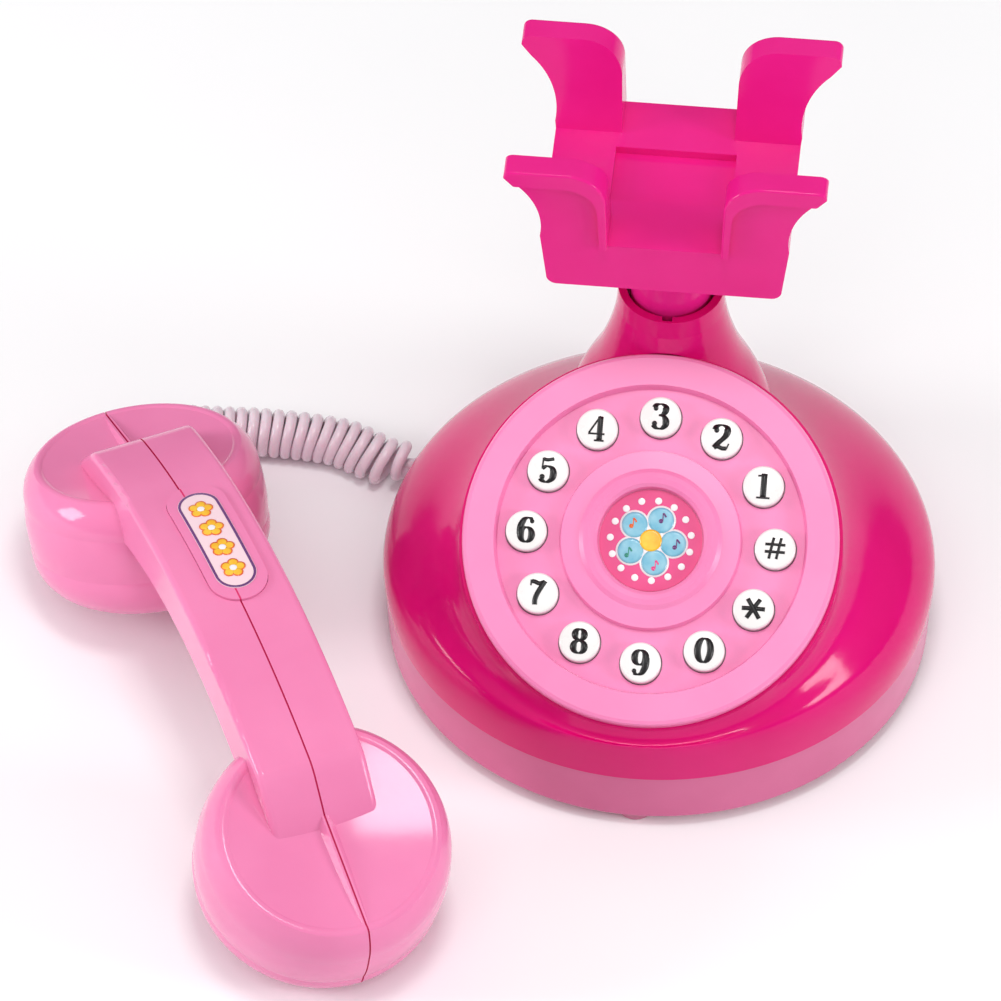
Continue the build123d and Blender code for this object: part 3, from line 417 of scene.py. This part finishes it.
def curled(line, run):
    """The wire's middle line: the route wound into a helix between CURL_START and CURL_END."""
    helix = []
    turn = 0.0
    for place, distance, (up, across) in zip(line, run, carried_frames(line)):
        swell = eased((distance - CURL_START) / SWELL_IN) * eased((CURL_END - distance) / SWELL_OUT)
        opening = eased((distance - OPEN_FROM) / OPEN_SPAN)
        if CURL_START < distance < CURL_END:
            turn += STEP / (PITCH + (PITCH_OPEN - PITCH) * opening)
        angle = 2 * math.pi * turn
        radius = COIL_R * swell
        lean = swell * (LEAN + (LEAN_AT_BASE - LEAN) * eased((distance - LEAN_FROM) / LEAN_SPAN))
        share = eased((distance - SAG_FROM) / SAG_SPAN) * eased((run[-1] - distance) / SAG_END_SPAN)
        ahead = up.cross(across)
        point = (
            place + Vector((0, -SAG, 0)) * share + up * (radius * math.cos(angle))
            + across * (radius * math.sin(angle)) + ahead * (lean * math.cos(angle))
        )
        point.z = max(point.z, WIRE_R + FLOOR_GAP)
        helix.append(point)
    return helix


def tube(line, radius):
    """Points, in metres, and faces of a closed round tube along a line."""
    points = []
    faces = []
    for index, (place, (up, across)) in enumerate(zip(line, carried_frames(line))):
        for corner in range(AROUND):
            angle = 2 * math.pi * corner / AROUND
            points.append((place + (up * math.cos(angle) + across * math.sin(angle)) * radius) * MM)
        if index:
            low = (index - 1) * AROUND
            for corner in range(AROUND):
                after = (corner + 1) % AROUND
                faces.append((low + corner, low + after, low + AROUND + after, low + AROUND + corner))
    faces.append(tuple(reversed(range(AROUND))))
    faces.append(tuple(range(len(points) - AROUND, len(points))))
    return points, faces


wire_line, wire_run = spaced(curled(*spaced(route_line(CORD_ROUTE), STEP)), WIRE_STEP)
curly_cord = new_piece("curly_cord", *tube(wire_line, WIRE_R), CORD_PINK, None, "cord_plastic")
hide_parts("cord_coil", "cord_tail_handset", "cord_tail_base")
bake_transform(curly_cord)

# ---- numerals on the buttons --------------------------------------------------------------------
DIAL_ANGLE = math.radians(58.0)
DIAL_CENTRE = Vector((0, -30.5, 67.7))
DIAL_OUT = Vector((0, -math.cos(DIAL_ANGLE), math.sin(DIAL_ANGLE)))
DIAL_RIGHT = Vector((1, 0, 0))
DIAL_UP = DIAL_OUT.cross(DIAL_RIGHT)
BUTTON_RING_R = 33.4
TOP_BUTTON_ANGLE = 90
BUTTON_NAMES = ["3", "2", "1", "hash", "star", "0", "9", "8", "7", "6", "5", "4"]
CROWN_R = 4.7
CROWN_RISE = 0.35
CROWN_SPHERE_R = (CROWN_R ** 2 + CROWN_RISE ** 2) / (2 * CROWN_RISE)
INK_LIFT = 0.04
INK_LAYER = 0.006         # each stroke lies this much over the one before
INK_THICKNESS = 0.06
THIN = 0.5                # widths of a numeral's hairlines and of its stems
THICK = 1.85
CONTRAST = 1.6            # how soon a stroke thins as it turns from upright to level
STRAIGHT_SPANS = 8
BLOB_SIDES = 18


def on_dial(x, y, lift):
    """A point over the dial plate's rim face: x to its right, y up its slope."""
    return DIAL_CENTRE + DIAL_RIGHT * x + DIAL_UP * y + DIAL_OUT * lift


def smooth_through(points, closed=False, per_span=8):
    """A smooth line through the given points, in the plane."""
    count = len(points)
    spans = count if closed else count - 1
    out = []
    for span in range(spans):
        if closed:
            near = [points[(span + shift) % count] for shift in (-1, 0, 1, 2)]
        else:
            near = [points[min(count - 1, max(0, span + shift))] for shift in (-1, 0, 1, 2)]
        for step in range(per_span):
            t = step / per_span
            out.append(tuple(
                0.5 * (2 * near[1][k] + (near[2][k] - near[0][k]) * t
                       + (2 * near[0][k] - 5 * near[1][k] + 4 * near[2][k] - near[3][k]) * t ** 2
                       + (3 * near[1][k] - near[0][k] - 3 * near[2][k] + near[3][k]) * t ** 3)
                for k in (0, 1)
            ))
    if not closed:
        out.append(points[-1])
    return out


def oval(x, y, half_width, half_height, count=20):
    angles = [2 * math.pi * k / count for k in range(count)]
    return [(x + half_width * math.cos(angle), y + half_height * math.sin(angle)) for angle in angles]


def half_turned(strokes):
    """Strokes turned upside down about the numeral's middle."""
    return [([(-x, -y) for x, y in points], *rest) for points, *rest in strokes]


def blob(x, y, radius=0.62):
    """A stroke that is one round dot."""
    return ([(x, y)], "blob", radius)


SIX = [
    (oval(0.1, -1.25, 1.5, 1.95), "closed", None),
    ([(1.5, 2.9), (0.6, 3.35), (-0.5, 2.95), (-1.3, 1.6), (-1.55, 0.2), (-1.5, -1.2)], "open", None),
    blob(1.45, 2.45),
]
STAR_REACH = 3.1
STAR_ARMS = [
    (STAR_REACH * math.cos(angle), STAR_REACH * math.sin(angle))
    for angle in (0, math.radians(57), math.radians(123))
]
# each stroke: its points, whether it is open, straight, closed or a blob, and a fixed width if it has one
NUMERALS = {
    "0": [(oval(0, 0, 1.75, 3.2), "closed", None)],
    "1": [
        ([(0.1, 3.3), (0.1, -3.2)], "straight", 1.6),
        ([(0.1, 3.2), (-0.6, 2.75), (-1.6, 2.6)], "open", 0.5),
        ([(-1.7, -3.3), (1.9, -3.3)], "straight", 0.5),
    ],
    "2": [
        blob(-1.4, 1.85, 0.7),
        ([(-1.8, 1.9), (-1.3, 2.95), (0.0, 3.35), (1.25, 2.8), (1.5, 1.6), (0.9, 0.2), (-0.6, -1.4),
          (-1.9, -2.9)], "open", None),
        ([(-1.8, -2.85), (-0.9, -2.55), (0.4, -2.95), (1.5, -2.9)], "open", 1.1),
        ([(1.5, -3.1), (2.05, -1.6)], "straight", 0.4),
    ],
    "3": [
        blob(-1.4, 2.1, 0.65),
        ([(-1.75, 2.2), (-1.1, 3.15), (0.1, 3.35), (1.15, 2.7), (1.2, 1.5), (0.5, 0.55), (-0.5, 0.3)],
         "open", None),
        ([(-0.5, 0.3), (0.7, 0.05), (1.45, -1.0), (1.4, -2.3), (0.4, -3.25), (-0.9, -3.2), (-1.9, -2.3)],
         "open", None),
        blob(-1.5, -2.0, 0.7),
    ],
    "4": [
        ([(0.75, 3.3), (0.75, -3.2)], "straight", 1.5),
        ([(0.7, 3.4), (-2.1, -1.3)], "straight", 0.5),
        ([(-2.3, -1.5), (2.1, -1.5)], "straight", 0.5),
        ([(-0.6, -3.3), (2.0, -3.3)], "straight", 0.5),
    ],
    "5": [
        ([(-1.4, 3.2), (-1.5, 0.2)], "straight", 0.45),
        ([(-1.4, 2.9), (-0.2, 2.7), (1.5, 3.1)], "open", 0.95),
        ([(-1.5, 0.3), (-0.3, 0.95), (1.0, 0.5), (1.55, -0.9), (1.2, -2.4), (0.0, -3.3), (-1.1, -3.1),
          (-1.8, -2.3)], "open", None),
        blob(-1.4, -1.95, 0.7),
    ],
    "6": SIX,
    "7": [
        ([(-1.7, 3.0), (-0.9, 2.9), (0.3, 2.5), (1.6, 3.0)], "open", 1.15),
        ([(-1.9, 3.4), (-1.9, 1.8)], "straight", 0.45),
        ([(1.85, 3.3), (0.9, 1.6), (0.0, -0.2), (-0.5, -1.8), (-0.5, -3.3)], "open", 1.35),
    ],
    "8": [
        (oval(0, 1.75, 1.25, 1.45), "closed", None),
        (oval(0, -1.6, 1.5, 1.65), "closed", None),
    ],
    "9": half_turned(SIX),
    "star": [([(x, y), (-x, -y)], "straight", 1.15) for x, y in STAR_ARMS],
    "hash": [
        ([(-1.5, -2.9), (-0.5, 2.9)], "straight", 0.75),
        ([(0.5, -2.9), (1.5, 2.9)], "straight", 0.75),
        ([(-2.7, 1.0), (2.7, 1.0)], "straight", 0.75),
        ([(-2.7, -1.0), (2.7, -1.0)], "straight", 0.75),
    ],
}


def ribbon(points, closed, width):
    """Left and right edges of a pen stroke, broad where it runs up or down and fine where it runs across."""
    count = len(points)
    edges = []
    for index, (x, y) in enumerate(points):
        before = points[(index - 1) % count] if closed else points[max(0, index - 1)]
        after = points[(index + 1) % count] if closed else points[min(count - 1, index + 1)]
        run_x = after[0] - before[0]
        run_y = after[1] - before[1]
        length = math.hypot(run_x, run_y)
        broad = abs(run_y / length) ** CONTRAST
        half = (width or THIN + (THICK - THIN) * broad) / 2
        edges.append(((x - run_y / length * half, y + run_x / length * half),
                      (x + run_y / length * half, y - run_x / length * half)))
    return edges


def crown_height(x, y):
    """Height of a button's crowned top under a point, from the rim face."""
    return math.sqrt(max(0.0, CROWN_SPHERE_R ** 2 - x * x - y * y)) - CROWN_SPHERE_R


def stroke_mesh(strokes):
    """Flat points and faces of a numeral's strokes, the first ones lowest."""
    flat = []
    faces = []
    for order, (points, kind, width) in enumerate(strokes):
        start = len(flat)
        lift = INK_LIFT + INK_LAYER * order
        if kind == "blob":
            rim = oval(*points[0], width, width, BLOB_SIDES)
            flat += [(x, y, lift) for x, y in rim]
            faces.append(tuple(range(start, start + len(rim))))
            continue
        if kind == "closed":
            edges = ribbon(points, True, width)
        elif kind == "open":
            edges = ribbon(smooth_through(points), False, width)
        else:
            (x0, y0), (x1, y1) = points
            shares = [k / STRAIGHT_SPANS for k in range(STRAIGHT_SPANS + 1)]
            edges = ribbon([(x0 + (x1 - x0) * t, y0 + (y1 - y0) * t) for t in shares], False, width)
        for left, right in edges:
            flat += [(*left, lift), (*right, lift)]
        spans = len(edges) if kind == "closed" else len(edges) - 1
        for span in range(spans):
            near = start + 2 * span
            far = start + 2 * ((span + 1) % len(edges))
            faces.append((near, near + 1, far + 1, far))
    return flat, faces


button_spots = ring(len(BUTTON_NAMES), BUTTON_RING_R, TOP_BUTTON_ANGLE, clockwise=True)
for name, (centre_x, centre_y) in zip(BUTTON_NAMES, button_spots):
    flat, faces = stroke_mesh(NUMERALS[name])
    points = [
        mm(*on_dial(centre_x + x, centre_y + y, crown_height(x, y) + lift)) for x, y, lift in flat
    ]
    numeral = new_piece(f"numeral_{name}", points, faces, INK, f"button_{name}", "button_plastic")
    thicken(numeral, "ink", INK_THICKNESS, 0)


# ---- printed flower on the dial's sticker -------------------------------------------------------
STICKER_LIFT = -2.35
FILM_THICKNESS = 0.04
DISC_RISE = 0.03          # a printed disc is this much higher in its middle than at its edge
DISC_SHOULDER = (0.8, 0.02)
FIRST_PRINT = 0.05        # heights of the layers of print over the sticker
SECOND_PRINT = 0.10
THIRD_PRINT = 0.16
NOTE_PRINT = 0.12
PETAL_R = 3.5
PETAL_RING_R = 6.1
PETAL_TURN = 67.5
OUTLINE = 0.5
MIDDLE_R = 3.0
MIDDLE_OUTLINE_R = 4.2
DOT_COUNT = 15
DOT_R = 0.95
DOT_RING_R = 10.9
DOT_TURN = 11.5
NOTE_OUTWARD = 1.12


def discs(name, spots, lift, material, place, body, count=28):
    """Thin printed discs, each with a slightly raised middle: spots are (x, y, radius)."""
    points = []
    faces = []
    for x, y, radius in spots:
        start = len(points)
        points.append(mm(*place(x, y, lift + DISC_RISE)))
        for share, rise in (DISC_SHOULDER, (1.0, 0.0)):
            for rim_x, rim_y in ring(count, radius * share, 0, x, y):
                points.append(mm(*place(rim_x, rim_y, lift + rise)))
        for k in range(count):
            after = (k + 1) % count
            faces.append((start, start + 1 + k, start + 1 + after))
            faces.append((start + 1 + k, start + 1 + count + k, start + 1 + count + after, start + 1 + after))
    thicken(new_piece(name, points, faces, material, body, "sticker_film"), "film", FILM_THICKNESS, -1)


petal_spots = ring(5, PETAL_RING_R, PETAL_TURN)
outline_spots = [(x, y, PETAL_R + OUTLINE) for x, y in petal_spots] + [(0, 0, MIDDLE_OUTLINE_R)]
dot_spots = [(x, y, DOT_R) for x, y in ring(DOT_COUNT, DOT_RING_R, DOT_TURN)]
discs("flower_outline", outline_spots, STICKER_LIFT + FIRST_PRINT, PRINT_WHITE, on_dial, "base")
discs("flower_petals", [(x, y, PETAL_R) for x, y in petal_spots], STICKER_LIFT + SECOND_PRINT, PRINT_BLUE,
      on_dial, "base")
discs("flower_middle", [(0, 0, MIDDLE_R)], STICKER_LIFT + THIRD_PRINT, PRINT_YELLOW, on_dial, "base")
discs("sticker_dots", dot_spots, STICKER_LIFT + FIRST_PRINT, PRINT_WHITE, on_dial, "base")

# a small note in each petal
NOTE = [
    blob(-0.3, -0.9, 0.6),
    ([(0.15, -0.9), (0.15, 1.3)], "straight", 0.3),
    ([(0.15, 1.3), (0.6, 0.85), (1.0, 0.25)], "open", 0.45),
]
NOTE_MATERIALS = [PRINT_PURPLE, PRINT_ORANGE, PRINT_GREEN, STICKER_PINK, PRINT_PURPLE]
for index, ((x, y), material) in enumerate(zip(petal_spots, NOTE_MATERIALS)):
    flat, faces = stroke_mesh(NOTE)
    points = [
        mm(*on_dial(NOTE_OUTWARD * x + u, NOTE_OUTWARD * y + v, STICKER_LIFT + NOTE_PRINT + lift))
        for u, v, lift in flat
    ]
    note = new_piece(f"petal_note_{index}", points, faces, material, "base", "sticker_film")
    thicken(note, "film", FILM_THICKNESS, 0)

# ---- printed badge on the handset ---------------------------------------------------------------
ARCH_R = 172.0
ARCH_TOP = 67.3
BADGE_T = 15.4
BADGE_SIDE = 2.0
BADGE_LIFT = 0.85
BADGE_HALF_LENGTH = 19.5
BADGE_HALF_WIDTH = 5.7
BORDER_INSET = 0.1        # from the badge's edge to the border's outer and inner lines
BORDER_INNER_INSET = 0.8
END_POINTS = 20
SIDE_POINTS = 7
BLOSSOM_COUNT = 4
BLOSSOM_STEP = 8.2
BLOSSOM_RING_R = 1.9
BLOSSOM_PETAL_R = 1.15
BLOSSOM_RIM_R = 1.55
BLOSSOM_MIDDLE_R = 1.0
BLOSSOM_TURN = 90
BADGE_SECOND_PRINT = 0.11
BADGE_THIRD_PRINT = 0.17


def on_badge(t, side, lift):
    """A point over the badge: t along the handset from the badge's middle, side to its right."""
    t = t + BADGE_T
    side = side + BADGE_SIDE
    height = ARCH_TOP - ARCH_R + math.sqrt((ARCH_R + BADGE_LIFT + lift) ** 2 - t * t)
    return HANDSET_CENTRE + ALONG * t + ASIDE * side + Vector((0, 0, height))


def slot_line(inset):
    """Points round a long oval with straight sides, inside the badge's edge."""
    half_width = BADGE_HALF_WIDTH - inset
    straight = BADGE_HALF_LENGTH - inset - half_width
    line = []
    for end in (1, -1):
        for k in range(END_POINTS + 1):
            angle = math.pi * k / END_POINTS - math.pi / 2
            line.append((end * (straight + half_width * math.cos(angle)), end * half_width * math.sin(angle)))
        for k in range(1, SIDE_POINTS + 1):
            line.append((end * straight * (1 - 2 * k / (SIDE_POINTS + 1)), end * half_width))
    return line


border_spots = slot_line(BORDER_INSET) + slot_line(BORDER_INNER_INSET)
count = len(border_spots) // 2
points = [mm(*on_badge(*spot, FIRST_PRINT)) for spot in border_spots]
faces = [(k, (k + 1) % count, count + (k + 1) % count, count + k) for k in range(count)]
border = new_piece("badge_border", points, faces, PRINT_PURPLE, "handset", "sticker_film")
thicken(border, "film", FILM_THICKNESS, 0)

# a row of plain blossoms fills the badge
blossoms = [BLOSSOM_STEP * (k - (BLOSSOM_COUNT - 1) / 2) for k in range(BLOSSOM_COUNT)]
blossom_petals = [spot for t in blossoms for spot in ring(5, BLOSSOM_RING_R, BLOSSOM_TURN, x=t)]
discs("badge_blossom_rims", [(x, y, BLOSSOM_RIM_R) for x, y in blossom_petals], FIRST_PRINT, PRINT_ORANGE,
      on_badge, "handset")
discs("badge_blossoms", [(x, y, BLOSSOM_PETAL_R) for x, y in blossom_petals], BADGE_SECOND_PRINT,
      PRINT_YELLOW, on_badge, "handset")
discs("badge_blossom_middles", [(t, 0, BLOSSOM_MIDDLE_R) for t in blossoms], BADGE_THIRD_PRINT,
      PRINT_WHITE, on_badge, "handset")

# ---- floor, light -------------------------------------------------------------------------------
FLOOR_HALF = 3.0
FLOOR_CORNERS = [(-1, -1), (1, -1), (1, 1), (-1, 1)]
SKY_STRENGTH = 0.55
SKY_STOPS = ((0.0, (0.22, 0.21, 0.22, 1.0)), (0.75, (1.0, 1.0, 1.0, 1.0)))
LIGHT_TARGET = mm(0, 0, 40)


def lay_floor():
    mesh = bpy.data.meshes.new("floor")
    mesh.from_pydata([(x * FLOOR_HALF, y * FLOOR_HALF, 0) for x, y in FLOOR_CORNERS], [], [(0, 1, 2, 3)])
    mesh.materials.append(
        moulded("pale_floor", (246, 246, 247), (250, 250, 251), 0.9, cloud=4, grain=300, relief=0.02)
    )
    floor = bpy.data.objects.new("floor", mesh)
    bpy.context.scene.collection.objects.link(floor)


def light_sky():
    """A pale studio dome, dimmer towards the horizon."""
    world = bpy.data.worlds.new("studio")
    world.use_nodes = True
    sky = world.node_tree
    place = sky.nodes.new("ShaderNodeTexCoord")
    split = sky.nodes.new("ShaderNodeSeparateXYZ")
    ramp = sky.nodes.new("ShaderNodeValToRGB")
    for stop, (position, colour) in zip(ramp.color_ramp.elements, SKY_STOPS):
        stop.position = position
        stop.color = colour
    link(sky, place, "Generated", split, "Vector")
    link(sky, split, "Z", ramp, "Fac")
    link(sky, ramp, "Color", sky.nodes["Background"], "Color")
    sky.nodes["Background"].inputs["Strength"].default_value = SKY_STRENGTH
    bpy.context.scene.world = world


def softbox(name, azimuth, elevation, distance, width, height, power, mirrored=True):
    """A rectangular lamp: angles in degrees, lengths in metres, power in watts; mirrored if gloss shows it."""
    lamp = bpy.data.lights.new(name, "AREA")
    lamp.shape = "RECTANGLE"
    lamp.size = width
    lamp.size_y = height
    lamp.energy = power
    holder = bpy.data.objects.new(name, lamp)
    holder.visible_glossy = mirrored
    bpy.context.scene.collection.objects.link(holder)
    towards = direction(math.radians(azimuth), math.radians(elevation))
    aim(holder, LIGHT_TARGET + towards * distance, LIGHT_TARGET)


lay_floor()
light_sky()
softbox("left_window", -78, 18, 1.2, 0.4, 0.44, 6.0)
softbox("right_window", 72, 20, 1.2, 0.36, 0.36, 5.5)
softbox("front_fill", 0, 55, 1.8, 1.4, 0.9, 6.4, mirrored=False)
softbox("top_window", 10, 80, 1.6, 0.36, 0.36, 7.0)
bpy.context.scene.view_settings.view_transform = "Standard"
